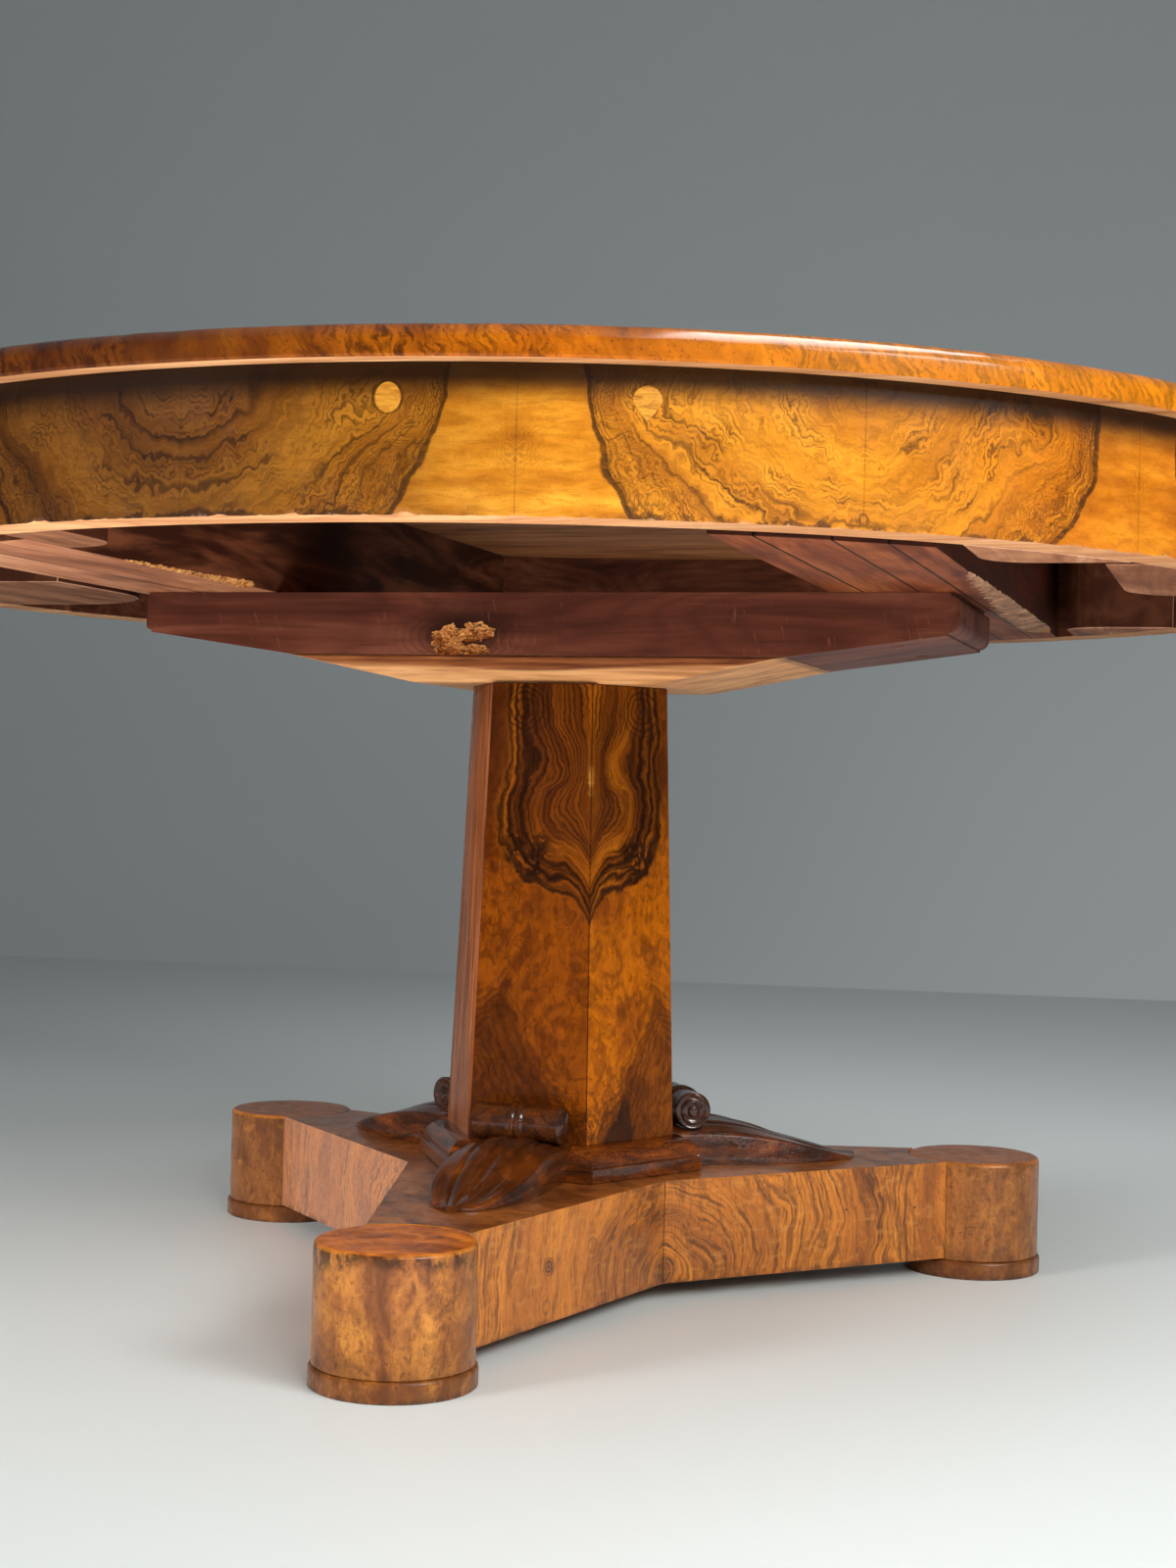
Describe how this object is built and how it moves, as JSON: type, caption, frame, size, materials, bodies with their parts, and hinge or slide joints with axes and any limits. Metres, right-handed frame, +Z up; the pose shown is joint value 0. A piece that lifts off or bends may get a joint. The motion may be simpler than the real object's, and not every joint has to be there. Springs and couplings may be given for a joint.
{
  "type": "centre table",
  "caption": "Round walnut centre table on a six-sided tapered column, with a deep frieze and a three-cornered base on drum feet.",
  "frame": {"origin": "on the floor, under the middle of the column", "axes": "+Z up, the front foot towards -Y, the cross block along X"},
  "size_m": [1.4, 1.4, 0.77],
  "materials": {
    "frieze_walnut": "figured walnut veneer, French polished, semi-gloss",
    "top_walnut": "figured walnut veneer, French polished, glossy",
    "column_walnut": "figured walnut veneer, French polished, semi-gloss",
    "base_walnut": "walnut veneer, waxed, semi-gloss",
    "foot_walnut": "burr walnut veneer, waxed, worn at the edges",
    "carved_walnut": "carved walnut, dark and glossy",
    "stained_beech": "planed beech, stained dark, matt",
    "pale_beech": "planed beech, unfinished, matt",
    "softwood": "sawn softwood, unfinished, matt",
    "plug_wood": "pale walnut, polished",
    "iron": "dull iron"
  },
  "bodies": {
    "root": {"base_arm_front": "base_walnut", "base_arm_left": "base_walnut", "base_arm_right": "base_walnut", "bearer_left_inner": "stained_beech", "bearer_left_outer": "stained_beech", "bearer_right_inner": "stained_beech", "bearer_right_outer": "stained_beech", "bearer_right_strip": "stained_beech", "block_lower_board": "pale_beech", "block_screw_back_left": "iron", "block_screw_back_right": "iron", "block_screw_front_left": "iron", "block_screw_front_right": "iron", "block_upper_board": "stained_beech", "carved_leaf_front": "carved_walnut", "carved_leaf_left": "carved_walnut", "carved_leaf_right": "carved_walnut", "carved_roll_front": "carved_walnut", "carved_roll_left": "carved_walnut", "carved_roll_right": "carved_walnut", "collar_moulding_back": "carved_walnut", "collar_moulding_left": "carved_walnut", "collar_moulding_right": "carved_walnut", "column_post": "softwood", "column_side_1": "column_walnut", "column_side_2": "column_walnut", "column_side_3": "column_walnut", "column_side_4": "column_walnut", "column_side_5": "column_walnut", "column_side_6": "column_walnut", "foot_drum_front": "foot_walnut", "foot_drum_left": "foot_walnut", "foot_drum_right": "foot_walnut", "foot_ring_front": "foot_walnut", "foot_ring_left": "foot_walnut", "foot_ring_right": "foot_walnut", "frieze_plug_left": "plug_wood", "frieze_plug_right": "plug_wood", "frieze_segment_1": "frieze_walnut", "frieze_segment_2": "frieze_walnut", "frieze_segment_3": "frieze_walnut", "frieze_segment_4": "frieze_walnut", "frieze_segment_5": "frieze_walnut", "frieze_segment_6": "frieze_walnut", "frieze_segment_7": "frieze_walnut", "frieze_segment_8": "frieze_walnut", "glue_block_back_right": "softwood", "glue_block_front_left": "softwood", "glue_block_front_right": "softwood", "glue_block_side_left": "softwood", "glue_block_side_right": "softwood", "top_board_1": "softwood", "top_board_2": "softwood", "top_board_3": "softwood", "top_board_4": "softwood", "top_lipping_1": "top_walnut", "top_lipping_2": "top_walnut", "top_lipping_3": "top_walnut", "top_lipping_4": "top_walnut", "top_veneer": "top_walnut"}
  },
  "joints": []
}
